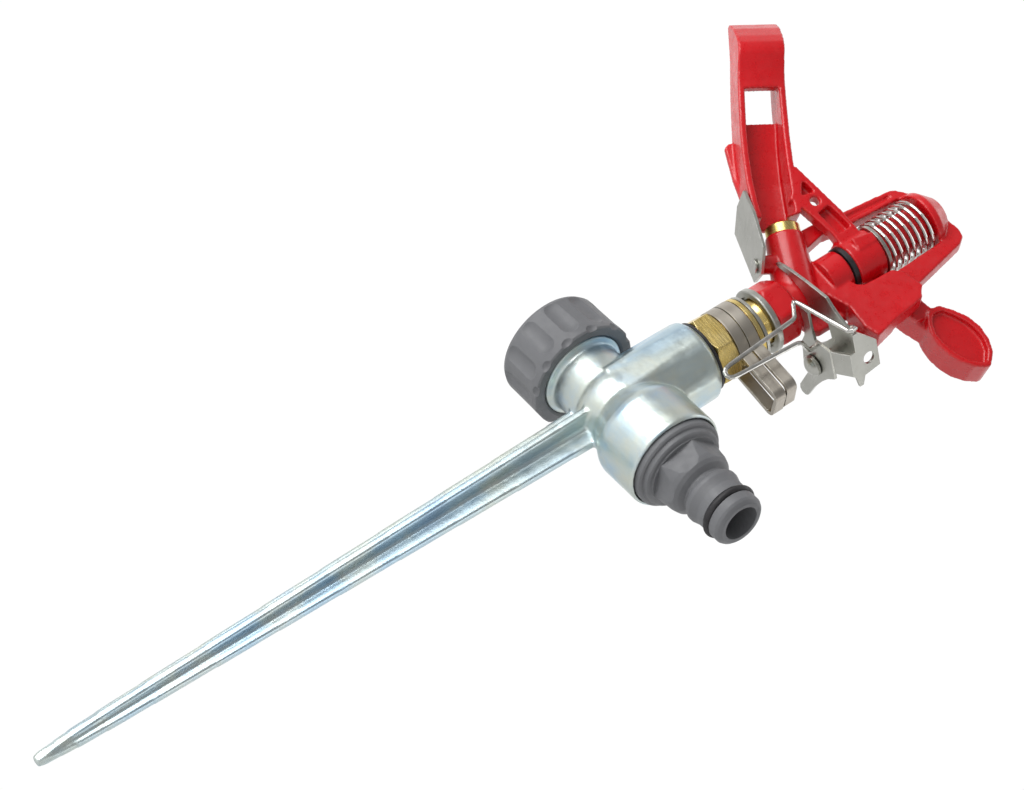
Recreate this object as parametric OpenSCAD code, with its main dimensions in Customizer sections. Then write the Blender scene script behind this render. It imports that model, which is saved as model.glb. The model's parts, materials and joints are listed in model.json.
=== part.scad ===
// Impulse sprinkler on a die-cast ground spike. +Z up along the riser, origin where the riser
// axis crosses the pipe axis, hose connector towards +X. Millimetres.

/* [Spike and tee] */
// Depth of the spike tip below the pipe axis
spike_length = 191; // [140:1:240]
// Width across two ribs at the ball end
rib_width_top = 14.2; // [11:0.1:18]
// Width across two ribs where the point begins
rib_width_low = 6.8; // [5:0.1:9]
// Thickness of each rib
rib_thick = 2.4; // [1.8:0.1:3]
// Height of the riser socket above the pipe axis
socket_top = 29; // [26:0.5:34]
// Width across the flats of the riser socket
socket_flats = 24.2; // [23:0.1:27]
// Radius of the blind ball end
ball_r = 12.3; // [11.5:0.1:13]
// Radius of the collar round the hose connector
collar_r = 15.35; // [14.8:0.05:18]
// Distance of the collar rim from the riser axis
collar_end = 26.5; // [24:0.5:32]
// Radius of the neck towards the cap
neck_r = 11.3; // [10.8:0.1:12]
// Radius of the thread that takes the cap
neck_thread_r = 13.2; // [12.8:0.05:14]

/* [Cap] */
// Outside radius of the cap at its mouth
cap_r = 16.9; // [15.8:0.1:20]
// Distance of the cap mouth from the riser axis
cap_mouth = 15.6; // [14.5:0.1:18]
// Length of the cap
cap_length = 17; // [15:0.5:24]
// Number of grip recesses
cap_grips = 12; // [6:1:16]

/* [Hose connector] */
// Distance of the nose end from the riser axis
nose_end = 55.3; // [52:0.1:62]
// Radius of the connector nose
nose_r = 8.0; // [7.7:0.05:8.6]
// Radius of the water bore
nose_bore_r = 5.4; // [4:0.1:6]

/* [Riser stack] */
// Width across the flats of the bearing nut
nut_flats = 19.8; // [18:0.1:23]
// Height of the hexagon
nut_hex_h = 6.6; // [5:0.1:9]
// Radius of the barrel that carries the friction collars
barrel_r = 8.9; // [8.4:0.05:10]
// Height of each friction collar
collar_h = 3.5; // [3:0.1:4]
// Thickness of the collar strip
strip_t = 1.15; // [0.8:0.05:1.4]
// Reach of the collar tab from the riser axis
tab_reach = 25.2; // [21:0.2:30]
// Width of the collar tab
tab_w = 11.2; // [9:0.1:13]
// Radius of the rotating brass stem
stem_r = 5.6; // [5:0.05:6]
// Radius of the water passage in the stem
stem_bore_r = 4.1; // [3:0.1:4.5]

/* [Head] */
// Angle of the nozzle round the riser, from +X
head_turn = 203; // [0:1:359]
// Width across the flats of the head hub
hub_flats = 17.6; // [16:0.1:21]
// Angle of the jet above the horizontal
jet_angle = 26; // [20:1:32]
// Distance of the nozzle end from the elbow
nozzle_end = 22.8; // [20:0.1:26]
// Outside radius of the nozzle ring
nozzle_r = 5.15; // [4.6:0.05:5.6]
// Radius of the jet orifice
orifice_r = 2.0; // [1:0.1:3]
// Turn of the spring frame from the jet plane
frame_turn = -11; // [-14:1:-9]
// Thickness of the spring frame
frame_t = 4.6; // [4:0.1:5.2]
// Height of the top of the spring frame
frame_top = 118.4; // [114:0.2:126]
// Radius of the fulcrum pin
pin_r = 2.2; // [1.6:0.05:2.6]

/* [Hammer arm] */
// Radius of the arm hub
arm_hub_r = 7.6; // [6.8:0.1:8]
// Wall thickness of the spoon
spoon_t = 2.0; // [1.5:0.1:2.5]
// Angle of the spoon above the horizontal
spoon_angle = 29; // [26:0.5:32]
// Depth of the counterweight
weight_depth = 11.5; // [9:0.1:13]
// Length of the counterweight
weight_length = 23.7; // [18:0.1:30]

/* [Arm spring] */
// Number of coils
spring_turns = 7; // [6:1:9]
// Outside radius at the arm
spring_low_r = 8.6; // [8:0.1:8.9]
// Outside radius at the frame
spring_high_r = 9.0; // [8.4:0.1:9]
// Thickness of the wire
spring_wire = 1.05; // [0.8:0.05:1.4]

/* [Trip lever] */
// Thickness of the folded sheet
sheet_t = 0.9; // [0.7:0.05:1.2]
// Thickness of the trip wire
wire_d = 1.4; // [1:0.05:1.8]
// Radius of the trip rivet
rivet_r = 1.6; // [1.3:0.05:2]

/* [Fits] */
// Radial clearance of the turning fits
run_gap = 0.06; // [0.03:0.01:0.1]
// Gap between pieces that pass each other
pass_gap = 0.35; // [0.3:0.05:0.5]

/* [Hidden] */
$fn = 64;
eps = 0.02;

zinc = [0.74, 0.80, 0.84];
rubber = [0.08, 0.08, 0.08];
brass = [0.80, 0.64, 0.30];
gray = [0.42, 0.42, 0.44];
steel = [0.66, 0.65, 0.60];
red = [0.80, 0.05, 0.08];

// spike
spike_root = -5;
point_len = 26;
tip_w = 2.6;
core_r = 2.4;

// water passages
pipe_bore_r = 9;
riser_bore_r = 8.6;
thread_r = 9.7;
thread_low = 13;

// collar and connector
collar_back = 12;
rim_step_r = collar_r - 0.95;
socket_r = 12.2;
socket_floor = 13.5;
rim_floor = collar_end - 3;
gasket_t = 1.6;
flange_r = rim_step_r - 0.3;
ring_r = 8.75;
ring_wire = 1.05;
ring_x = nose_end - 5.4;

// cap
cap_bore_r = neck_thread_r + run_gap;
cap_far = cap_mouth + cap_length;
cap_floor = 3;
cap_disc_t = 1.6;
neck_end = cap_far - cap_floor - cap_disc_t - pass_gap;
grip_r = 5.2;
grip_depth = 1.0;

// riser stack, from the socket upwards
gasket_h = 0.8;
hex_low = socket_top + gasket_h;
hex_top = hex_low + nut_hex_h;
lower_collar_z = hex_top + pass_gap;
upper_collar_z = lower_collar_z + collar_h + pass_gap;
lip_low = upper_collar_z + collar_h + pass_gap;
lip_top = lip_low + 1.4;
lip_r = barrel_r + 1.1;
nut_stem_low = 20;
washer_h = 1;
flange_top = nut_stem_low - 2 * washer_h - pass_gap;
flange_h = 1.8;
sleeve_flange_r = thread_r - 1.4;
thrust_low = lip_top + pass_gap;
thrust_top = thrust_low + 1;
cup_low = thrust_top + 2.9;
cup_h = 2;
cup_r = lip_r + 0.2;
hub_low = cup_low + cup_h;
sleeve_top = hub_low + 9;
sleeve_r = 7.3;
spring_hole_r = barrel_r - 1.1;

// head
elbow_z = 65;
hub_h = 8.4;
tube_r = 6.7;
bridge_half = 3.7;
lobe_top = 81.5;
lobe_r = 6.6;
arm_low = lobe_top + 1.9;
arm_top = arm_low + 9.8;
seat_t = 1;
spring_low = arm_top + seat_t;
boss_low = frame_top - 7.2;
boss_r = 9.2;
barrel_top = boss_low - 1.2;
post_barrel_r = 6;
water_r = 4.1;

plate_gap = 9.7;
pivot_x = 10.5;
pivot_y = 1.5;
pivot_r = 1.5;
pivot_depth = 4.3;

// hammer arm, measured from the jet plane
arm_face = 5.2;
arm_back = 0.9;
spoon_start = 25.6;
spoon_floor = -4;
spoon_root = 61;

// trip lever
lever_z = 63.6;
shelf_z = 58.6;
rivet_x = -18.4;
rivet_y = -4;
bridge_low = 72;
spacer_r = rivet_r + 1.2;

// turn a piece so that it points along +X
module along_x() {
    rotate([0, 90, 0])
        children();
}

// place a piece in the frame of the head: nozzle towards its own +X
module on_head() {
    rotate([0, 0, head_turn])
        children();
}

// flat shape in the upright plane of the jet, given thickness from low to high across it
module upright(low, high) {
    translate([0, high, 0])
        rotate([90, 0, 0])
            linear_extrude(high - low)
                children();
}

// hexagonal bar of given width across flats
module hexagon(flats, h) {
    cylinder(h = h, r = flats / 2 / cos(30), $fn = 6);
}

// ring with a plain bore
module ring(r_out, r_in, h) {
    difference() {
        cylinder(h = h, r = r_out);
        translate([0, 0, -1])
            cylinder(h = h + 2, r = r_in);
    }
}

// block with two rounded corners at its far end, seen from above
module tongue(reach, width, h, r) {
    translate([0, -width / 2, 0])
        cube([reach - r, width, h]);
    translate([0, -width / 2 + r, 0])
        cube([reach, width - 2 * r, h]);
    for (s = [-1, 1])
        translate([reach - r, s * (width / 2 - r), 0])
            cylinder(h = h, r = r);
}

// coil of round wire between two heights, its outside radius changing evenly
module coil(r_low, r_high, z_low, z_high, turns, wire) {
    steps = 24;
    sides = 8;
    n = turns * steps;
    w = wire / 2;
    pts = [for (i = [0:n]) for (j = [0:sides - 1])
        let (t = i / n, a = 360 * i / steps, b = 360 * j / sides,
            r = r_low + (r_high - r_low) * t - w + w * cos(b))
            [r * cos(a), r * sin(a), z_low + w + (z_high - z_low - wire) * t + w * sin(b)]];
    side = [for (i = [0:n - 1]) for (j = [0:sides - 1])
        let (k = (j + 1) % sides)
            [i * sides + j, i * sides + k, (i + 1) * sides + k, (i + 1) * sides + j]];
    first = [for (j = [sides - 1:-1:0]) j];
    last = [for (j = [0:sides - 1]) n * sides + j];
    polyhedron(pts, concat(side, [first], [last]));
}

module rib() {
    rotate([90, 0, 0])
        translate([0, 0, -rib_thick / 2])
            linear_extrude(rib_thick)
                polygon([[-rib_width_top / 2, spike_root], [rib_width_top / 2, spike_root],
                    [rib_width_low / 2, point_len - spike_length],
                    [rib_width_low * 0.42, 0.5 * point_len - spike_length],
                    [rib_width_low * 0.31, 0.2 * point_len - spike_length],
                    [tip_w / 2, -spike_length], [-tip_w / 2, -spike_length],
                    [-rib_width_low * 0.31, 0.2 * point_len - spike_length],
                    [-rib_width_low * 0.42, 0.5 * point_len - spike_length],
                    [-rib_width_low / 2, point_len - spike_length]]);
}

module tee_outside() {
    rib();
    rotate([0, 0, 90])
        rib();
    translate([0, 0, -spike_length])
        cylinder(h = spike_length, r1 = tip_w / 2, r2 = core_r);
    sphere(r = ball_r);
    intersection() {
        rotate([0, 0, 22.5])
            cylinder(h = socket_top, r = socket_flats / 2 / cos(22.5), $fn = 8);
        union() {
            cylinder(h = socket_top - 1.8, r1 = socket_flats / 2 + 0.9, r2 = socket_flats / 2 + 0.3);
            translate([0, 0, socket_top - 1.8])
                cylinder(h = 1.8, r1 = socket_flats / 2 + 0.3, r2 = socket_flats / 2 - 1.4);
        }
    }
    along_x()
        rotate_extrude()
            polygon([[0, 0], [10.8, 2], [12.6, 6], [collar_r - 1.4, 8.6], [collar_r - 0.4, 10.4],
                [collar_r, collar_back], [collar_r, collar_end - 0.8],
                [collar_r - 0.5, collar_end], [0, collar_end]]);
    rotate([0, -90, 0])
        rotate_extrude()
            polygon([[0, 0], [neck_r, 0], [neck_r, cap_mouth - 0.6], [neck_r + 0.9, cap_mouth],
                [neck_thread_r, cap_mouth + 0.2], [neck_thread_r, neck_end - 1],
                [neck_thread_r - 1, neck_end], [0, neck_end]]);
}

module spike_tee() {
    color(zinc)
        difference() {
            tee_outside();
            rotate([0, -90, 0])
                translate([0, 0, -socket_floor])
                    cylinder(h = socket_floor + neck_end + 1, r = pipe_bore_r);
            along_x()
                translate([0, 0, socket_floor])
                    cylinder(h = collar_end, r = socket_r);
            along_x()
                translate([0, 0, rim_floor])
                    cylinder(h = collar_end, r = rim_step_r);
            cylinder(h = socket_top + 1, r = riser_bore_r);
            translate([0, 0, thread_low])
                cylinder(h = socket_top, r = thread_r);
        }
}

module nut_gasket() {
    color(rubber)
        translate([0, 0, socket_top])
            ring(socket_flats / 2 - 1.3, thread_r, gasket_h);
}

module bearing_nut() {
    color(brass)
        difference() {
            union() {
                translate([0, 0, nut_stem_low])
                    cylinder(h = hex_low - nut_stem_low, r = thread_r);
                translate([0, 0, hex_low])
                    intersection() {
                        rotate([0, 0, 10])
                            hexagon(nut_flats, nut_hex_h);
                        union() {
                            cylinder(h = 1, r1 = nut_flats / 2, r2 = nut_flats / 2 + 1.7);
                            translate([0, 0, 1])
                                cylinder(h = nut_hex_h - 2, r = nut_flats / 2 + 1.7);
                            translate([0, 0, nut_hex_h - 1])
                                cylinder(h = 1, r1 = nut_flats / 2 + 1.7, r2 = nut_flats / 2);
                        }
                    }
                translate([0, 0, hex_top - 1])
                    cylinder(h = lip_low - hex_top + 1, r = barrel_r);
                translate([0, 0, lip_low])
                    cylinder(h = lip_top - lip_low, r = lip_r);
            }
            translate([0, 0, nut_stem_low - 1])
                cylinder(h = lip_top, r = stem_r + run_gap);
            translate([0, 0, hex_low])
                cylinder(h = lip_top, r = spring_hole_r);
        }
}

module connector_gasket() {
    color(rubber)
        along_x()
            translate([0, 0, socket_floor])
                ring(socket_r - 0.3, pipe_bore_r, gasket_t);
}

module connector_profile() {
    body_start = collar_end + 4.2;
    polygon([[0, socket_floor + gasket_t], [socket_r, socket_floor + gasket_t], [socket_r, rim_floor],
        [flange_r, rim_floor], [flange_r, collar_end + 1.3], [flange_r - 0.5, collar_end + 1.8],
        [12.9, collar_end + 1.9], [12.7, collar_end + 3.2], [12.2, collar_end + 3.6],
        [11.2, collar_end + 3.8], [11.2, body_start], [10.6, body_start + 3], [10.3, nose_end - 19],
        [9.8, nose_end - 17.6], [8.9, nose_end - 16.6], [7.3, nose_end - 15.6],
        [7.1, nose_end - 14.9], [7.6, nose_end - 14.4], [8.3, nose_end - 13.9],
        [8.75, nose_end - 12.9], [8.75, nose_end - 12], [8.3, nose_end - 10.6],
        [nose_r, nose_end - 9.4], [nose_r, ring_x - 1.2], [ring_r - 2 * ring_wire, ring_x - 1.2],
        [ring_r - 2 * ring_wire, ring_x + 1.2], [nose_r, ring_x + 1.2], [nose_r, nose_end - 1.6],
        [nose_r - 0.4, nose_end - 0.8],
        [nose_r - 1.1, nose_end - 0.2], [nose_r - 1.5, nose_end], [0, nose_end]]);
}

module hose_connector() {
    color(gray)
        difference() {
            along_x()
                rotate_extrude()
                    connector_profile();
            along_x()
                translate([0, 0, socket_floor])
                    cylinder(h = nose_end, r = nose_bore_r);
            along_x()
                difference() {
                    translate([0, 0, collar_end + 4.2])
                        cylinder(h = nose_end - 17.6 - collar_end - 4.2, r = 12);
                    translate([0, 0, collar_end])
                        rotate([0, 0, 15])
                            hexagon(19.4, nose_end);
                }
        }
}

module connector_ring() {
    color(rubber)
        along_x()
            translate([0, 0, ring_x])
                rotate_extrude()
                    translate([ring_r - ring_wire, 0])
                        circle(r = ring_wire, $fn = 32);
}

module grip() {
    translate([0, cap_r + grip_r - grip_depth, 0]) {
        translate([0, 0, cap_mouth + 5.5])
            cylinder(h = cap_length - 9.5, r = grip_r);
        for (z = [cap_mouth + 5.5, cap_far - 4])
            translate([0, 0, z])
                sphere(r = grip_r);
    }
}

module end_cap() {
    color(gray)
        rotate([0, -90, 0])
            difference() {
                rotate_extrude()
                    polygon([[0, cap_mouth], [cap_r - 0.5, cap_mouth], [cap_r, cap_mouth + 0.5],
                        [cap_r - 0.2, cap_far - 1.6], [cap_r - 0.7, cap_far - 0.5],
                        [cap_r - 1.6, cap_far], [0, cap_far]]);
                translate([0, 0, cap_mouth - 1])
                    cylinder(h = cap_length - cap_floor + 1, r = cap_bore_r);
                translate([0, 0, cap_mouth - 0.2])
                    cylinder(h = 1, r1 = cap_bore_r + 1, r2 = cap_bore_r);
                for (i = [0:cap_grips - 1])
                    rotate([0, 0, 360 / cap_grips * i])
                        grip();
                for (i = [0:cap_grips - 1])
                    rotate([0, 0, 360 / cap_grips * (i + 0.5)])
                        translate([0, cap_r + 1.6, cap_mouth])
                            sphere(r = 2.6, $fn = 24);
            }
}

module cap_gasket() {
    color(rubber)
        rotate([0, -90, 0])
            translate([0, 0, cap_far - cap_floor - cap_disc_t])
                cylinder(h = cap_disc_t, r = cap_bore_r - 0.2);
}

module friction_collar(z, turn) {
    inner = barrel_r + run_gap;
    color(steel)
        translate([0, 0, z])
            rotate([0, 0, turn])
                difference() {
                    union() {
                        cylinder(h = collar_h, r = inner + strip_t);
                        tongue(tab_reach, tab_w, collar_h, 2.6);
                    }
                    translate([0, 0, -1])
                        cylinder(h = collar_h + 2, r = inner);
                    translate([0, 0, -1])
                        tongue(tab_reach - strip_t, tab_w - 2 * strip_t, collar_h + 2, 1.6);
                }
}

module lower_collar() {
    friction_collar(lower_collar_z, 15);
}

module upper_collar() {
    friction_collar(upper_collar_z, 12);
}

module bearing_sleeve() {
    color(brass)
        difference() {
            union() {
                translate([0, 0, flange_top - flange_h])
                    cylinder(h = flange_h, r = sleeve_flange_r);
                translate([0, 0, flange_top - flange_h])
                    cylinder(h = sleeve_top - flange_top, r = stem_r);
                translate([0, 0, thrust_top])
                    cylinder(h = 3.4, r1 = sleeve_r - 0.9, r2 = sleeve_r);
                translate([0, 0, thrust_top + 3.4])
                    cylinder(h = hub_low - thrust_top - 3.4, r = sleeve_r);
            }
            translate([0, 0, flange_top - flange_h - 1])
                cylinder(h = sleeve_top, r = stem_bore_r);
        }
}

module seal_washer() {
    color(rubber)
        translate([0, 0, flange_top])
            ring(sleeve_flange_r, stem_r, washer_h);
}

module wear_washer() {
    color([0.92, 0.92, 0.90])
        translate([0, 0, flange_top + washer_h])
            ring(sleeve_flange_r, stem_r, washer_h);
}

module thrust_washer() {
    color(steel)
        translate([0, 0, thrust_low])
            ring(lip_r - 0.1, stem_r, thrust_top - thrust_low);
}

module bearing_spring() {
    color(steel)
        coil(spring_hole_r - 0.35, spring_hole_r - 0.35, hex_low + pass_gap, thrust_low, 6, 1.1);
}

module cup_washer() {
    color(steel)
        translate([0, 0, cup_low])
            rotate_extrude()
                polygon([[sleeve_r + 0.9, 0], [cup_r - 0.3, 0], [cup_r, 0.3], [cup_r, cup_h - 0.3],
                    [cup_r - 0.3, cup_h], [sleeve_r, cup_h], [sleeve_r, cup_h - 0.8],
                    [cup_r - 1, cup_h - 0.8], [cup_r - 1, 0.9], [sleeve_r + 0.9, 0.9]]);
}

// shapes of the head in the upright plane: distance along the jet, height
module bridge_shape() {
    polygon([[8, 66], [8, 73.5], [0, 77], [-8, 80.6], [-9, 82.4], [-23.3, 82.4], [-25, 74.4],
        [-20.3, 73], [-12.7, 73.6], [-5.2, 70.8], [-2, 69]]);
}

module block_shape() {
    polygon([[-9, 82], [-9.6, 92], [-12, 94.6], [-18.7, 96], [-20.4, 94.2], [-21.8, 93.4],
        [-22.6, 89], [-23.4, 82]]);
}

module front_post_shape() {
    polygon([[-10.4, 90], [-19, 90], [-19, 94], [-17, 97], [-13.2, frame_top - 3],
        [-11.8, frame_top - 0.8], [-9, frame_top], [-7, frame_top - 1], [-7.6, frame_top - 5],
        [-9.4, frame_top - 7]]);
}

module back_post_shape() {
    polygon([[10.5, 75], [17, 77.5], [16.6, 84], [15, 94], [13.2, frame_top - 8],
        [12.2, frame_top - 6.4], [8, frame_top - 3], [8, frame_top - 6], [9.4, frame_top - 8],
        [10.6, 92], [12.2, 84]]);
}

module back_post_groove() {
    polygon([[13.2, 86], [14.6, 86.6], [13.6, 94], [12, frame_top - 9.4], [10.8, frame_top - 9.4],
        [11.9, 93]]);
}

module hub_solid() {
    translate([0, 0, hub_low])
        intersection() {
            hexagon(hub_flats, hub_h);
            union() {
                cylinder(h = 1, r1 = hub_flats / 2 + 0.2, r2 = hub_flats / 2 + 1.1);
                translate([0, 0, 1])
                    cylinder(h = hub_h - 2.6, r = hub_flats / 2 + 1.1);
                translate([0, 0, hub_h - 1.6])
                    cylinder(h = 1.6, r1 = hub_flats / 2 + 1.1, r2 = hub_flats / 2 - 1.5);
            }
        }
    translate([0, 0, hub_low])
        cylinder(h = elbow_z - hub_low, r = tube_r);
    translate([0, 0, elbow_z])
        sphere(r = tube_r + 0.25);
    translate([0, 0, elbow_z])
        rotate([0, 90 - jet_angle, 0])
            cylinder(h = nozzle_end - 3.3, r1 = tube_r + 0.1, r2 = nozzle_r + 0.5);
    below_jet()
        translate([pivot_x, pivot_y, pass_gap])
            cylinder(h = 5, r = 2.8);
}

module frame_solid() {
    rotate([0, 0, frame_turn]) {
        upright(-bridge_half, bridge_half)
            bridge_shape();
        upright(-frame_t / 2, bridge_half)
            block_shape();
        upright(-4.4, -1.2)
            polygon([[-4, 60.6], [-10.8, 61.6], [-12.2, 64], [-12.2, 74], [-4, 72]]);
        upright(-frame_t / 2, frame_t / 2)
            front_post_shape();
        difference() {
            upright(-frame_t / 2, frame_t / 2)
                back_post_shape();
            upright(frame_t / 2 - 0.7, frame_t)
                back_post_groove();
        }
        upright(-frame_t / 2, frame_t / 2)
            polygon([[-9, frame_top], [-8, frame_top - 4], [8, frame_top - 6], [8, frame_top - 3]]);
    }
    translate([0, 0, lobe_top - 7])
        cylinder(h = 7, r = lobe_r);
    translate([0, 0, boss_low])
        cylinder(h = 2, r = boss_r);
    translate([0, 0, boss_low + 2])
        cylinder(h = frame_top - boss_low - 2.6, r1 = boss_r, r2 = boss_r - 4);
    translate([rivet_x, rivet_y, bridge_low])
        cylinder(h = 8, r = 5);
}

module head_body() {
    color(red)
        on_head()
            difference() {
                union() {
                    hub_solid();
                    frame_solid();
                }
                translate([0, 0, hub_low - 1])
                    cylinder(h = sleeve_top - hub_low + 1, r = stem_r);
                translate([0, 0, sleeve_top - 1])
                    cylinder(h = elbow_z - sleeve_top + 1, r = water_r);
                translate([0, 0, elbow_z])
                    sphere(r = water_r + 0.8);
                translate([0, 0, elbow_z])
                    rotate([0, 90 - jet_angle, 0])
                        translate([0, 0, 1])
                            cylinder(h = nozzle_end - 12, r = water_r);
                translate([0, 0, elbow_z])
                    rotate([0, 90 - jet_angle, 0])
                        translate([0, 0, nozzle_end - 12]) {
                            cylinder(h = nozzle_end, r = water_r + 0.4);
                            translate([0, 0, 8.7])
                                cylinder(h = 8, r = nozzle_r + run_gap);
                        }
                translate([0, 0, lobe_top - 5])
                    cylinder(h = frame_top - lobe_top + 2, r = pin_r);
                translate([rivet_x, rivet_y, bridge_low - 1])
                    cylinder(h = 7, r = rivet_r);
                below_jet()
                    translate([pivot_x, pivot_y, -1])
                        cylinder(h = pivot_depth + 1, r = pivot_r);
            }
}

module nozzle() {
    color(brass)
        on_head()
            translate([0, 0, elbow_z])
                rotate([0, 90 - jet_angle, 0])
                    difference() {
                        union() {
                            translate([0, 0, nozzle_end - 12])
                                cylinder(h = 11, r = water_r + 0.4);
                            translate([0, 0, nozzle_end - 3.3])
                                cylinder(h = 2.8, r = nozzle_r);
                            translate([0, 0, nozzle_end - 0.5])
                                cylinder(h = 0.5, r1 = nozzle_r, r2 = nozzle_r - 0.5);
                        }
                        translate([0, 0, nozzle_end - 13])
                            cylinder(h = 9, r1 = water_r, r2 = orifice_r);
                        translate([0, 0, nozzle_end - 5])
                            cylinder(h = 4, r = orifice_r);
                        translate([0, 0, nozzle_end - 2])
                            cylinder(h = 3, r1 = orifice_r, r2 = orifice_r + 1.5);
                    }
}

// frame of the deflector: below the jet, its +X along the jet, its +Y across it
module below_jet() {
    translate([0, 0, elbow_z])
        rotate([0, -jet_angle, 0])
            translate([0, 0, -plate_gap])
                children();
}

module deflector_plate() {
    color([0.80, 0.80, 0.76])
        on_head()
            below_jet()
                difference() {
                    translate([0, 0, -sheet_t])
                        linear_extrude(sheet_t)
                            polygon([[6.4, 4.6], [7.6, -3.6], [27.6, -12.3], [32.7, -4.5],
                                [33.4, 4.4], [24.5, 8.8], [11.4, 11.7]]);
                    translate([pivot_x, pivot_y, -2])
                        cylinder(h = 4, r = pivot_r + run_gap);
                }
}

module deflector_rivet() {
    color(steel)
        on_head()
            below_jet()
                translate([pivot_x, pivot_y, -sheet_t - pass_gap]) {
                    translate([0, 0, -0.4])
                        cylinder(h = 0.4, r = pivot_r + 0.7);
                    cylinder(h = sheet_t + pass_gap + pivot_depth, r = pivot_r);
                }
}

module fulcrum_pin() {
    color(steel)
        translate([0, 0, lobe_top - 5])
            cylinder(h = frame_top - lobe_top + 2, r = pin_r);
}

module trip_rivet() {
    color(steel)
        on_head()
            translate([rivet_x, rivet_y, 0]) {
                translate([0, 0, shelf_z - pass_gap])
                    cylinder(h = bridge_low + 6 - shelf_z + pass_gap, r = rivet_r);
                translate([0, 0, shelf_z - pass_gap - 1])
                    cylinder(h = 1, r = 3.3);
                translate([0, 0, shelf_z - pass_gap - 1])
                    intersection() {
                        translate([0, 0, 3])
                            sphere(r = 4.45);
                        translate([0, 0, -3])
                            cylinder(h = 3, r = 3.3);
                    }
            }
}

module trip_spacer() {
    color(steel)
        on_head()
            translate([rivet_x, rivet_y, lever_z + sheet_t + pass_gap])
                ring(spacer_r, rivet_r, bridge_low - lever_z - sheet_t - pass_gap);
}

module trip_spring() {
    color(steel)
        on_head()
            translate([rivet_x, rivet_y, 0])
                coil(spacer_r + 1.1, spacer_r + 1.1, lever_z + sheet_t + pass_gap, bridge_low, 5, 0.8);
}

// pocketed bar of the hammer arm
module arm_bar() {
    difference() {
        upright(arm_back, arm_face)
            polygon([[0, 84], [9.2, 84.2], [23.4, 81.2], [25, 80.2], [32.6, 88.2], [14.2, 91.2], [0, 92]]);
        upright(arm_face - 3, arm_face + 1)
            polygon([[28.4, 87.2], [24.2, 83.8], [23.4, 87.9]]);
        upright(arm_face - 3, arm_face + 1)
            polygon([[17.6, 89], [9, 90.3], [8.6, 86.2], [17.2, 84.6]]);
        translate([20.8, 0, 86.2])
            rotate([-90, 0, 0])
                cylinder(h = arm_face + 1, r = 1.5, $fn = 32);
    }
}

// curved strip of the spoon in the upright plane, narrowed on both sides by its wall
module spoon_strip(wall) {
    offset_x = wall * sin(spoon_angle);
    offset_z = wall * cos(spoon_angle);
    low = [[22.4, 66.6], [30, 69.5], [37, 72.8], [44.1, 76.8], [51.1, 81.2], [58.2, 86.1],
        [66.4, 91.8], [73.3, 96.7], [85.3, 104.5]];
    high = [[78, 117.2], [69, 110.8], [62.7, 106.4], [55.7, 101.8], [48.7, 97.3], [41.8, 92.9],
        [34.7, 88.7], [27, 84.4], [20, 80.7]];
    polygon(concat([for (p = low) p + [-offset_x, offset_z]], [for (p = high) p + [offset_x, -offset_z]]));
}

// side view of the spoon: distance from its root, depth
module spoon_side() {
    polygon([[spoon_start, spoon_floor - spoon_t], [spoon_start, arm_face], [66, arm_face],
        [70.2, arm_face + 0.1], [73.5, arm_face + 0.7], [76.4, 6.8], [78.4, 7.6], [80, 7.8], [82, 7.5],
        [85, 5.9], [89, 3], [92.4, -0.8], [93.4, -2.6], [93, -4], [88, -4.2], [82, -4.6],
        [75, -5.4], [66, spoon_floor - spoon_t]]);
}

module spoon_hollow() {
    polygon([[spoon_start - 1, spoon_floor], [spoon_start - 1, arm_face + 9], [67.8, arm_face + 9],
        [67.8, -0.6], [61, -1.2], [56, -2], [50, -3], [40, spoon_floor]]);
}

// back of the spoon, cut away behind the window and the hood
module spoon_relief() {
    polygon([[57, -20], [57, -3.6], [61, -2.8], [67, -2.3], [68, 2.4], [75, 3.6], [78, 4.6],
        [81, 4.8], [84, 2.8], [86, 0.4], [86.6, -20]]);
}

module across_spoon(width) {
    translate([0, 0, spoon_root])
        rotate([0, -spoon_angle, 0])
            translate([0, 0, -width / 2])
                linear_extrude(width)
                    children();
}

module spoon() {
    difference() {
        intersection() {
            upright(-20, 20)
                spoon_strip(0);
            across_spoon(30)
                spoon_side();
        }
        intersection() {
            upright(-20, 20)
                spoon_strip(spoon_t);
            across_spoon(30)
                spoon_hollow();
        }
        intersection() {
            upright(-20, 20)
                spoon_strip(spoon_t);
            across_spoon(30)
                spoon_relief();
        }
        intersection() {
            upright(-20, 20)
                spoon_strip(spoon_t);
            across_spoon(30)
                translate([59.4, -12])
                    square([8.6, 20]);
        }
    }
}

// outline of the counterweight, its length measured from the end nearest the arm
module weight_shape(inset) {
    root = -23.2;
    stretch = weight_length / 23.7;
    mid = [root - 12 * stretch, 99.4];
    outline = [[0, 96.9], [-0.6, 100.2], [-3.8, 102.9], [-7.9, 105.5], [-12, 106.6],
        [-16.5, 106.5], [-20.6, 104.9], [-23.7, 101.6], [-23.5, 100.3], [-21.2, 97.1], [-17.9, 94.5],
        [-14.4, 93], [-10, 92.2], [-5.7, 92.6], [-2.4, 94.1], [-0.6, 95.9]];
    full = [for (p = outline) [root + stretch * p[0], p[1]]];
    polygon([for (p = full) p + inset * (mid - p) / norm(mid - p)]);
}

module counterweight() {
    difference() {
        upright(-0.5 - weight_depth, -0.5)
            weight_shape(0);
        upright(-2.5, 1)
            weight_shape(1.8);
    }
    upright(-7, -0.9)
        polygon([[0, 84], [0, 92], [-4.4, 93.1], [-9, 93.1], [-12, 94.9], [-12, 87.7]]);
    upright(-0.5 - weight_depth, -0.9)
        polygon([[-9.5, 86.9], [-9.5, 94.4], [-24, 98], [-24.6, 97.4], [-24.6, 93], [-24, 91.4]]);
    upright(-0.5 - weight_depth, -2.7)
        polygon([[-22, 90.8], [-22, 97.5], [-30, 99], [-30, 94]]);
}

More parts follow.
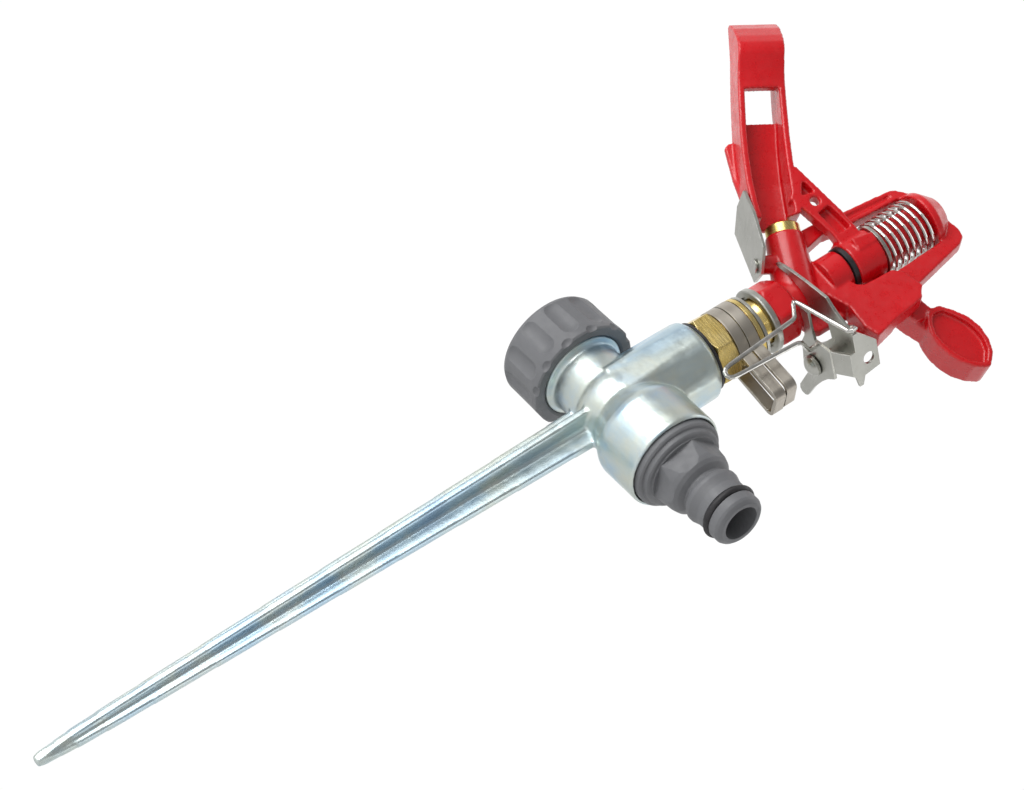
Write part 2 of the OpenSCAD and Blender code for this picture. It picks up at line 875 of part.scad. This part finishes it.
module hammer_arm() {
    color(red)
        on_head()
            difference() {
                union() {
                    translate([0, 0, arm_low])
                        cylinder(h = arm_top - arm_low, r = arm_hub_r);
                    translate([0, 0, arm_low])
                        cylinder(h = barrel_top - arm_low, r = post_barrel_r);
                    arm_bar();
                    spoon();
                    counterweight();
                    upright(spoon_floor - spoon_t, spoon_floor)
                        polygon([[51.3, 78.2], [51.8, 80], [50.8, 81.9], [46, 79.6], [38, 75],
                            [32, 71.4], [35, 72], [41.3, 74]]);
                    upright(4, 8)
                        polygon([[0.6, arm_low + 3], [4.8, arm_low + 3], [3.4, arm_top],
                            [0.6, arm_top]]);
                }
                translate([0, 0, arm_low - 1])
                    cylinder(h = arm_top, r = pin_r + run_gap);
            }
}

module arm_bush() {
    color(rubber)
        translate([0, 0, lobe_top + pass_gap])
            ring(6.9, pin_r + run_gap, arm_low - lobe_top - pass_gap);
}

module spring_seat() {
    color(steel)
        translate([0, 0, arm_top])
            ring(arm_hub_r + 0.6, post_barrel_r + run_gap, seat_t);
}

module arm_spring() {
    color(steel)
        on_head()
            coil(spring_low_r, spring_high_r, spring_low, boss_low - eps, spring_turns, spring_wire);
}

// frame of the lever's outer web: its +X along the web, its +Y towards the riser
module on_web() {
    translate([-26, 10.2, 0])
        rotate([0, 0, 235])
            children();
}

module lever_top_shape() {
    polygon([[10.8, 5.4], [10.3, 6.5], [8.6, 7.9], [5, 10.3], [-0.5, 13.4], [-8.6, 17.4],
        [-13.2, 16.4], [-21.2, 16.6], [-25.3, 10.9], [-24, 3], [-22.9, -4], [-20.6, -7.6],
        [-16.2, -7.6], [-13.9, -4], [-15.4, 0], [-16.6, 5], [-13.4, 8.6], [-8, 5.6], [-6, 5.6],
        [-3, 7.5], [0, 8], [3.4, 7.8], [6.2, 7], [8.2, 6], [9.8, 5.2]]);
}

module lever_low_shape() {
    polygon([[-5, 10.9], [-8.5, 12.5], [-11.6, 8.4], [-14.6, 5.2], [-16.9, 6.6], [-20.6, 8.3],
        [-26.3, 0.4], [-24.4, -3], [-23.2, -7], [-22.1, -13], [-21.6, -20], [-20.8, -21.2],
        [-19.4, -21.6], [-18.2, -21], [-17.6, -19.6], [-17.9, -9.8], [-14.6, -8], [-13.2, -5],
        [-11.2, -1.5], [-11, 2.4], [-9, 6.8]]);
}

module trip_lever() {
    color(steel)
        on_head()
            difference() {
                union() {
                    translate([0, 0, lever_z])
                        linear_extrude(sheet_t)
                            lever_top_shape();
                    translate([0, 0, shelf_z])
                        linear_extrude(sheet_t)
                            lever_low_shape();
                    on_web()
                        upright(0, sheet_t)
                            polygon([[-7.4, lever_z], [-7.6, 65.4], [-5.1, 67.9], [-1.5, 71.3],
                                [7.3, 71.2], [8, 65.6], [10.8, 64.5], [10.8, 63.2], [7.6, 62.6],
                                [6.4, 61.6], [-1.4, 61.6], [-1.4, lever_z]]);
                    on_web()
                        translate([-1.4, 0, 0])
                            rotate([90, 0, 90])
                                linear_extrude(7.8)
                                    polygon([[0, 61.6], [6.6, shelf_z], [7.6, shelf_z],
                                        [7.6, shelf_z + sheet_t], [6.6, shelf_z + sheet_t],
                                        [0.9, 62.4], [0, 62.6]]);
                }
                translate([rivet_x, rivet_y, 50])
                    cylinder(h = bridge_low, r = rivet_r + run_gap);
                on_web()
                    translate([2.9, -1, 67.8])
                        rotate([-90, 0, 0])
                            cylinder(h = 4, r = 1.95, $fn = 48);
            }
}

function unit(v) = v / norm(v);

// direction of a path at one of its points
function heading(points, i) = unit(
    (i > 0 ? unit(points[i] - points[i - 1]) : [0, 0, 0])
    + (i < len(points) - 1 ? unit(points[i + 1] - points[i]) : [0, 0, 0]));

// two directions square to the path at each point, carried along it without twist
function carried(points, i, side) = i == len(points) ? [] :
    let (t = heading(points, i), n = unit(side - (side * t) * t))
        concat([[n, cross(t, n)]], carried(points, i + 1, n));

// round wire along a path of points
module bent_wire(points, side, d) {
    sides = 12;
    n = len(points);
    frames = carried(points, 0, side);
    pts = [for (i = [0:n - 1]) for (j = [0:sides - 1])
        points[i] + d / 2 * (cos(360 * j / sides) * frames[i][0] + sin(360 * j / sides) * frames[i][1])];
    walls = [for (i = [0:n - 2]) for (j = [0:sides - 1])
        let (k = (j + 1) % sides)
            [i * sides + k, i * sides + j, (i + 1) * sides + j, (i + 1) * sides + k]];
    first = [for (j = [0:sides - 1]) j];
    last = [for (j = [sides - 1:-1:0]) (n - 1) * sides + j];
    polyhedron(pts, concat(walls, [first], [last]));
}

module trip_wire() {
    r = wire_d / 2;
    plate_top = lever_z + sheet_t;
    color(steel)
        on_head()
            bent_wire([[-18.2, 14.8, plate_top + r], [-19.6, 16.6, plate_top + r],
                [-20.6, 17.7, plate_top + 0.5], [-20.8, 18, lever_z + 0.2], [-20, 17.7, lever_z - 1],
                [-18.4, 17.2, lever_z - 1.4], [-4.9, 12.8, 58.2], [-3.9, 12.4, 57.8],
                [-3.6, 12.4, 57.2], [-4.1, 12.4, 56.7], [-7.2, 12.4, 54.8], [-7.7, 12.4, 54.1],
                [-7.9, 12.4, 53], [-9.4, 12.4, 29.8], [-9.8, 12.4, 28.1], [-10.6, 12.4, 27.2],
                [-11.6, 12.4, 27], [-12.5, 12.4, 27.5], [-13, 12.4, 28.6], [-13.2, 12.4, 30],
                [-14.3, 12.4, 50], [-14.5, 12, 51.2], [-14.7, 11.2, 52.2], [-15.4, 3.6, 56.2],
                [-15.5, 2.6, 57], [-15.5, 2.3, 57.8], [-15.5, 2.3, shelf_z]], [0, 1, 0], wire_d);
}

spike_tee();
nut_gasket();
bearing_nut();
connector_gasket();
hose_connector();
connector_ring();
end_cap();
cap_gasket();
lower_collar();
upper_collar();
bearing_sleeve();
seal_washer();
wear_washer();
thrust_washer();
bearing_spring();
cup_washer();
head_body();
nozzle();
deflector_plate();
deflector_rivet();
fulcrum_pin();
trip_rivet();
trip_spacer();
trip_spring();
hammer_arm();
arm_bush();
spring_seat();
arm_spring();
trip_lever();
trip_wire();
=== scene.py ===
"""Looks of the impulse sprinkler: materials, rounded castings, light and camera. Metres, +Z up the riser."""

import json
import math

import bpy
from mathutils import Matrix, Vector


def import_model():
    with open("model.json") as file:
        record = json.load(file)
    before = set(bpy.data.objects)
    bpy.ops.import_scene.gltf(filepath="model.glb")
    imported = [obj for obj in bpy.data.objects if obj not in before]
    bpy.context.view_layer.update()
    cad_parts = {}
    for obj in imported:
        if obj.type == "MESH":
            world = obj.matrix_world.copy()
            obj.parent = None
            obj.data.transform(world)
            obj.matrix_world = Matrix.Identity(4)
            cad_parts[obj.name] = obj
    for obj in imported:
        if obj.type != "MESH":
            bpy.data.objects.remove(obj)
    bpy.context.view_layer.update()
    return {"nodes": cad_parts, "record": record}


MM = 0.001

# faces that meet at less than this many degrees are shaded as one surface
SMOOTH_ANGLE = 32.0

# skins of the castings: voxel sizes, and how they are welded, softened and thinned
FINE_SKIN = 0.36 * MM
COARSE_SKIN = 0.45 * MM
WELD_DISTANCE = 0.01 * MM
SKIN_SOFTENING = 0.5
SKIN_KEPT = 0.5

# sockets of the Mix node when it mixes colours
MIX_A = 6
MIX_B = 7
MIX_RESULT = 2

# the values that most of a noise lies between
NOISE_LOW = 0.3
NOISE_HIGH = 0.7

# lighter edges, partly wear and partly painted highlight, by the cosine between the rounded and the true
# normal: where they start and are full
WEAR_AND_HIGHLIGHT_STARTS = 0.985
WEAR_AND_HIGHLIGHT_FULL = 0.86
# the noise that breaks the wear and painted highlight up: grains a metre, the values it is spread over, and
# the least it leaves
WEAR_AND_HIGHLIGHT_GRAINS = 900.0
WEAR_AND_HIGHLIGHT_NOISE_LOW = 0.38
WEAR_AND_HIGHLIGHT_NOISE_HIGH = 0.58
WEAR_AND_HIGHLIGHT_LEAST = 0.25

BEVEL_SAMPLES = 4

FLOOR_SIDE = 40.0
FLOOR_DROP = 0.62

# the way the camera looks, and the surround's gray from behind the camera (0) to ahead of it (1)
AHEAD = (-0.58, 0.74, 0.34)
SURROUND_GRAYS = [(0.0, 0.24), (0.35, 0.30), (0.60, 0.55), (0.80, 0.95), (0.88, 1.0)]
SURROUND_STRENGTH = 1.02

CAMERA_PLACE = (0.5013, -0.6703, -0.3321)
CAMERA_RIGHT = (0.5870, 0.0840, 0.8060)
CAMERA_UP = (-0.5670, -0.6680, 0.4820)
CAMERA_LENS = 112.63
CAMERA_SENSOR = 36.0
CAMERA_NEAR = 0.01
CAMERA_FAR = 50.0


# ---------- shader helpers ----------

def set_stops(ramp, stops):
    """Fills a colour ramp node with (position, RGB) stops."""
    elements = ramp.color_ramp.elements
    while len(elements) < len(stops):
        elements.new(0.5)
    for element, (position, colour) in zip(elements, stops):
        element.position = position
        element.color = (*colour, 1.0)


class Graph:
    """One node material, with short calls for the nodes that the surfaces share."""

    def __init__(self, name):
        self.material = bpy.data.materials.new(name)
        self.material.use_nodes = True
        self.tree = self.material.node_tree
        self.shader = self.tree.nodes["Principled BSDF"]
        self.place = self.add("ShaderNodeTexCoord").outputs["Object"]
        self.soft = None

    def add(self, kind, **values):
        """A new node of this kind, with its settings."""
        node = self.tree.nodes.new(kind)
        for key, value in values.items():
            setattr(node, key, value)
        return node

    def link(self, source, target):
        """Joins an output to an input."""
        self.tree.links.new(source, target)

    def stretched(self, x, y, z):
        """Object coordinates scaled along each axis."""
        mapping = self.add("ShaderNodeMapping")
        mapping.inputs["Scale"].default_value = (x, y, z)
        self.link(self.place, mapping.inputs["Vector"])
        return mapping.outputs["Vector"]

    def noise(self, scale, detail=4.0, roughness=0.55, place=None):
        """A noise of about this many grains a metre."""
        node = self.add("ShaderNodeTexNoise")
        node.inputs["Scale"].default_value = scale
        node.inputs["Detail"].default_value = detail
        node.inputs["Roughness"].default_value = roughness
        self.link(place or self.place, node.inputs["Vector"])
        return node.outputs["Fac"]

    def span(self, value, low, high, out_low, out_high):
        """A value taken from one range to another and held inside it."""
        node = self.add("ShaderNodeMapRange")
        keys = ("From Min", "From Max", "To Min", "To Max")
        for key, number in zip(keys, (low, high, out_low, out_high)):
            node.inputs[key].default_value = number
        self.link(value, node.inputs["Value"])
        return node.outputs["Result"]

    def spread(self, noise, low, high):
        """A noise spread over the range from low to high."""
        return self.span(noise, NOISE_LOW, NOISE_HIGH, low, high)

    def ramp(self, value, stops):
        """A colour that follows a value through (position, RGB) stops."""
        node = self.add("ShaderNodeValToRGB")
        set_stops(node, stops)
        self.link(value, node.inputs["Fac"])
        return node.outputs["Color"]

    def mix(self, factor, a, b):
        """Two colours mixed by a value; each is a socket or an RGB triple."""
        node = self.add("ShaderNodeMix", data_type="RGBA")
        self.link(factor, node.inputs["Factor"])
        for socket, colour in ((node.inputs[MIX_A], a), (node.inputs[MIX_B], b)):
            if isinstance(colour, tuple):
                socket.default_value = (*colour, 1.0)
            else:
                self.link(colour, socket)
        return node.outputs[MIX_RESULT]

    def rounded(self, radius):
        """Normals bent round every edge, as if it had this radius."""
        node = self.add("ShaderNodeBevel", samples=BEVEL_SAMPLES)
        node.inputs["Radius"].default_value = radius
        self.soft = node.outputs["Normal"]

    def wear_and_highlight(self, amount):
        """0 on flat ground, rising along the rounded edges and broken up by a noise: a mask for edge wear
        that also serves as painted highlight.
        """
        turn = self.add("ShaderNodeVectorMath", operation="DOT_PRODUCT")
        self.link(self.soft, turn.inputs[0])
        self.link(self.add("ShaderNodeNewGeometry").outputs["Normal"], turn.inputs[1])
        edge = self.span(turn.outputs["Value"], WEAR_AND_HIGHLIGHT_STARTS, WEAR_AND_HIGHLIGHT_FULL, 0.0, amount)
        noise = self.noise(WEAR_AND_HIGHLIGHT_GRAINS, 3.0)
        broken = self.span(noise, WEAR_AND_HIGHLIGHT_NOISE_LOW, WEAR_AND_HIGHLIGHT_NOISE_HIGH, WEAR_AND_HIGHLIGHT_LEAST, 1.0)
        node = self.add("ShaderNodeMath", operation="MULTIPLY")
        self.link(edge, node.inputs[0])
        self.link(broken, node.inputs[1])
        return node.outputs["Value"]

    def bump(self, *layers):
        """Height layers, each (value, height in metres), stacked on the rounded normals if there are any."""
        normal = self.soft
        for value, height in layers:
            node = self.add("ShaderNodeBump")
            node.inputs["Strength"].default_value = 1.0
            node.inputs["Distance"].default_value = height
            self.link(value, node.inputs["Height"])
            if normal:
                self.link(normal, node.inputs["Normal"])
            normal = node.outputs["Normal"]
        self.link(normal, self.shader.inputs["Normal"])

    def finish(self, colour, roughness, **fixed):
        """Links the colour and the roughness (or sets it, if it is a number); the rest are constants."""
        inputs = self.shader.inputs
        self.link(colour, inputs["Base Color"])
        if isinstance(roughness, float):
            inputs["Roughness"].default_value = roughness
        else:
            self.link(roughness, inputs["Roughness"])
        for key, value in fixed.items():
            inputs[key.replace("_", " ")].default_value = value
        return self.material


# ---------- materials ----------

def zinc_casting():
    """Blue-passivated zinc die casting: bright, faintly iridescent, with a soft cast ripple."""
    g = Graph("zinc_casting")
    g.rounded(0.5 * MM)
    base = g.ramp(g.noise(38.0, 5.0, 0.6), [
        (0.30, (0.42, 0.58, 0.74)),
        (0.46, (0.50, 0.67, 0.79)),
        (0.56, (0.63, 0.71, 0.70)),
        (0.70, (0.44, 0.62, 0.82)),
    ])
    streaks = g.noise(60.0, 4.0, 0.6, g.stretched(1.0, 1.0, 0.16))
    colour = g.mix(g.span(streaks, 0.42, 0.66, 0.0, 0.7), base, (0.70, 0.73, 0.62))
    # lighter along the edges: wear, and painted highlight
    wear_and_highlight = g.mix(g.wear_and_highlight(0.6), colour, (0.88, 0.90, 0.91))
    rough = g.spread(g.noise(240.0), 0.28, 0.44)
    g.bump((g.noise(130.0, 3.0), 0.16 * MM), (g.noise(1500.0, 2.0), 0.012 * MM))
    return g.finish(wear_and_highlight, rough, Metallic=0.92)


def red_paint():
    """Gloss red paint over a cast surface, a little darker and rougher in patches."""
    g = Graph("red_paint")
    g.rounded(0.5 * MM)
    colour = g.ramp(g.noise(45.0, 3.0), [(0.3, (0.56, 0.002, 0.006)), (0.7, (0.66, 0.004, 0.010))])
    # the pale red along the edges is painted highlight more than wear
    wear_and_highlight = g.mix(g.wear_and_highlight(0.55), colour, (0.84, 0.12, 0.11))
    rough = g.spread(g.noise(420.0), 0.22, 0.42)
    g.bump((g.noise(240.0, 2.0), 0.08 * MM), (g.noise(1100.0, 2.0, 0.5), 0.02 * MM))
    return g.finish(wear_and_highlight, rough, Metallic=0.0, Coat_Weight=0.25, Coat_Roughness=0.15)


def gray_plastic():
    """Matt moulded plastic with a fine eroded grain."""
    g = Graph("gray_plastic")
    g.rounded(0.4 * MM)
    colour = g.ramp(g.noise(90.0), [(0.3, (0.140, 0.143, 0.152)), (0.7, (0.172, 0.175, 0.184))])
    # lighter along the edges: wear, and painted highlight
    wear_and_highlight = g.mix(g.wear_and_highlight(0.6), colour, (0.26, 0.265, 0.275))
    rough = g.spread(g.noise(500.0), 0.42, 0.60)
    g.bump((g.noise(2600.0, 3.0), 0.03 * MM))
    return g.finish(wear_and_highlight, rough, Metallic=0.0)


def brass():
    """Turned brass: fine rings across the axis, warm colour with a little tarnish."""
    g = Graph("brass")
    g.rounded(0.35 * MM)
    colour = g.ramp(g.noise(160.0, 5.0, 0.65), [
        (0.28, (0.62, 0.44, 0.12)),
        (0.50, (0.78, 0.59, 0.21)),
        (0.74, (0.86, 0.69, 0.31)),
    ])
    # lighter along the edges: wear, and painted highlight
    wear_and_highlight = g.mix(g.wear_and_highlight(0.7), colour, (0.95, 0.82, 0.50))
    rings = g.noise(180.0, 3.0, 0.6, g.stretched(1.0, 1.0, 14.0))
    g.bump((rings, 0.01 * MM), (g.noise(900.0, 3.0), 0.008 * MM))
    return g.finish(wear_and_highlight, g.spread(rings, 0.20, 0.34), Metallic=1.0)


def nickel_strip():
    """Bent nickel-plated strip: warm gray, brushed along its length."""
    g = Graph("nickel_strip")
    g.rounded(0.3 * MM)
    colour = g.ramp(g.noise(120.0, 5.0, 0.65), [(0.3, (0.43, 0.395, 0.34)), (0.7, (0.53, 0.49, 0.43))])
    # lighter along the edges: wear, and painted highlight
    wear_and_highlight = g.mix(g.wear_and_highlight(0.8), colour, (0.72, 0.69, 0.62))
    brushed = g.noise(170.0, 3.0, 0.6, g.stretched(1.0, 1.0, 16.0))
    g.bump((brushed, 0.01 * MM), (g.noise(1400.0, 3.0), 0.005 * MM))
    return g.finish(wear_and_highlight, g.spread(brushed, 0.30, 0.50), Metallic=1.0)


def steel_sheet():
    """Stainless sheet, rolled, with a slightly olive cast and fine scuffs."""
    g = Graph("steel_sheet")
    g.rounded(0.25 * MM)
    colour = g.ramp(g.noise(110.0, 5.0, 0.65), [(0.3, (0.45, 0.45, 0.41)), (0.7, (0.55, 0.55, 0.51))])
    # lighter along the edges: wear, and painted highlight
    wear_and_highlight = g.mix(g.wear_and_highlight(0.8), colour, (0.78, 0.78, 0.74))
    rolled = g.noise(220.0, 4.0, 0.6, g.stretched(8.0, 1.0, 1.0))
    g.bump((rolled, 0.005 * MM), (g.noise(1600.0, 3.0), 0.003 * MM))
    return g.finish(wear_and_highlight, g.spread(rolled, 0.26, 0.38), Metallic=1.0)


def spring_wire():
    """Bright drawn wire."""
    g = Graph("spring_wire")
    colour = g.ramp(g.noise(300.0), [(0.3, (0.52, 0.51, 0.48)), (0.7, (0.72, 0.71, 0.68))])
    rough = g.spread(g.noise(700.0, 3.0), 0.14, 0.28)
    g.bump((g.noise(1500.0, 3.0), 0.02 * MM))
    return g.finish(colour, rough, Metallic=1.0)


def black_part(name, low, high):
    """Black moulded rubber or nylon, dusty in places, with roughness from low to high."""
    g = Graph(name)
    g.rounded(0.25 * MM)
    colour = g.ramp(g.noise(260.0), [(0.35, (0.012, 0.011, 0.013)), (0.75, (0.035, 0.033, 0.036))])
    rough = g.spread(g.noise(800.0, 3.0), low, high)
    g.bump((g.noise(1800.0, 3.0), 0.02 * MM))
    return g.finish(colour, rough, Metallic=0.0)


def white_nylon():
    """Off-white moulded nylon."""
    g = Graph("white_nylon")
    g.rounded(0.2 * MM)
    colour = g.ramp(g.noise(200.0), [(0.3, (0.72, 0.71, 0.67)), (0.7, (0.84, 0.83, 0.80))])
    rough = g.spread(g.noise(700.0, 3.0), 0.40, 0.55)
    g.bump((g.noise(1800.0, 3.0), 0.02 * MM))
    return g.finish(colour, rough, Metallic=0.0)


def floor_paper():
    """Matt pale gray paper."""
    g = Graph("floor")
    colour = g.ramp(g.noise(3.0, 3.0), [(0.3, (0.84, 0.84, 0.84)), (0.7, (0.88, 0.88, 0.88))])
    g.bump((g.noise(30.0, 3.0), 0.4 * MM))
    return g.finish(colour, 0.75, Metallic=0.0)


# ---------- pieces ----------

def shade_smooth(obj):
    """Smooth shading, with sharp edges only where faces meet at more than SMOOTH_ANGLE."""
    mesh = obj.data
    if mesh.has_custom_normals:
        with bpy.context.temp_override(object=obj, active_object=obj, selected_objects=[obj]):
            bpy.ops.mesh.customdata_custom_splitnormals_clear()
    mesh.shade_smooth()
    mesh.set_sharp_from_angle(angle=math.radians(SMOOTH_ANGLE))


def rounded_casting(obj, grain, passes):
    """Turns a crisp casting into one with cast radii on every edge and corner."""
    weld = obj.modifiers.new("weld", "WELD")
    weld.merge_threshold = WELD_DISTANCE
    remesh = obj.modifiers.new("cast skin", "REMESH")
    remesh.mode = "VOXEL"
    remesh.voxel_size = grain
    remesh.use_smooth_shade = True
    soft = obj.modifiers.new("cast radii", "SMOOTH")
    soft.factor = SKIN_SOFTENING
    soft.iterations = passes
    thin = obj.modifiers.new("thin", "DECIMATE")
    thin.ratio = SKIN_KEPT


def paint(nodes, record):
    """Gives each CAD node the material of its slot."""
    made = {
        "zinc_casting": zinc_casting(),
        "red_paint": red_paint(),
        "gray_plastic": gray_plastic(),
        "brass": brass(),
        "nickel_strip": nickel_strip(),
        "steel_sheet": steel_sheet(),
        "spring_wire": spring_wire(),
        "white_nylon": white_nylon(),
        "black_rubber": black_part("black_rubber", 0.45, 0.62),
        "black_nylon": black_part("black_nylon", 0.28, 0.42),
    }
    for part in record["subparts"]:
        obj = nodes[part["node"]]
        obj.data.materials.clear()
        obj.data.materials.append(made[part["material_slot"]])
        for polygon in obj.data.polygons:
            polygon.material_index = 0
        shade_smooth(obj)


# ---------- stage ----------

def floor():
    """A wide pale floor, well below the point of the spike."""
    bpy.ops.mesh.primitive_plane_add(size=FLOOR_SIDE, location=(0.0, 0.0, -FLOOR_DROP))
    obj = bpy.context.object
    obj.name = "floor"
    obj.data.materials.append(floor_paper())


def world():
    """A surround that is white behind the object and falls to gray on the side it is looked at from."""
    surround = bpy.data.worlds.new("studio")
    surround.use_nodes = True
    tree = surround.node_tree
    place = tree.nodes.new("ShaderNodeTexCoord")
    toward = tree.nodes.new("ShaderNodeVectorMath")
    toward.operation = "DOT_PRODUCT"
    toward.inputs[1].default_value = AHEAD
    span = tree.nodes.new("ShaderNodeMapRange")
    span.inputs["From Min"].default_value = -1.0
    span.inputs["From Max"].default_value = 1.0
    ramp = tree.nodes.new("ShaderNodeValToRGB")
    set_stops(ramp, [(position, (gray, gray, gray)) for position, gray in SURROUND_GRAYS])
    background = tree.nodes["Background"]
    background.inputs["Strength"].default_value = SURROUND_STRENGTH
    tree.links.new(place.outputs["Generated"], toward.inputs[0])
    tree.links.new(toward.outputs["Value"], span.inputs["Value"])
    tree.links.new(span.outputs["Result"], ramp.inputs["Fac"])
    tree.links.new(ramp.outputs["Color"], background.inputs["Color"])
    bpy.context.scene.world = surround


def soft_box(name, direction, distance, size, power):
    """A square lamp on the given side of the object, facing it."""
    data = bpy.data.lights.new(name, "AREA")
    data.shape = "SQUARE"
    data.size = size
    data.energy = power
    lamp = bpy.data.objects.new(name, data)
    lamp.location = Vector(direction).normalized() * distance
    lamp.rotation_euler = lamp.location.to_track_quat("Z", "Y").to_euler()
    bpy.context.scene.collection.objects.link(lamp)


def lamps():
    """The key in front and a little to the left, with weaker lamps above and behind on the right."""
    soft_box("key", (-0.35, -0.95, -0.10), distance=1.3, size=0.9, power=12.0)
    soft_box("top", (0.2, 0.1, 1.0), distance=1.4, size=1.0, power=3.5)
    soft_box("rim", (0.9, 0.5, 0.2), distance=1.5, size=0.8, power=2.5)


def camera():
    """Looks up at the sprinkler from its front right, rolled so that the spike points down and left."""
    right = Vector(CAMERA_RIGHT)
    back = right.cross(Vector(CAMERA_UP)).normalized()
    up = back.cross(right).normalized()
    right.normalize()
    data = bpy.data.cameras.new("camera")
    data.sensor_width = CAMERA_SENSOR
    data.lens = CAMERA_LENS
    data.clip_start = CAMERA_NEAR
    data.clip_end = CAMERA_FAR
    obj = bpy.data.objects.new("camera", data)
    turn = Matrix((right, up, back)).transposed().to_4x4()
    obj.matrix_world = Matrix.Translation(CAMERA_PLACE) @ turn
    bpy.context.scene.collection.objects.link(obj)
    bpy.context.scene.camera = obj


def main():
    """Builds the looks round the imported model."""
    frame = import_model()
    nodes = frame["nodes"]
    paint(nodes, frame["record"])
    rounded_casting(nodes["hammer_arm"], FINE_SKIN, passes=5)
    rounded_casting(nodes["head_body"], FINE_SKIN, passes=4)
    rounded_casting(nodes["spike_tee"], COARSE_SKIN, passes=3)
    floor()
    world()
    lamps()
    camera()
    bpy.context.scene.view_settings.view_transform = "Standard"


main()
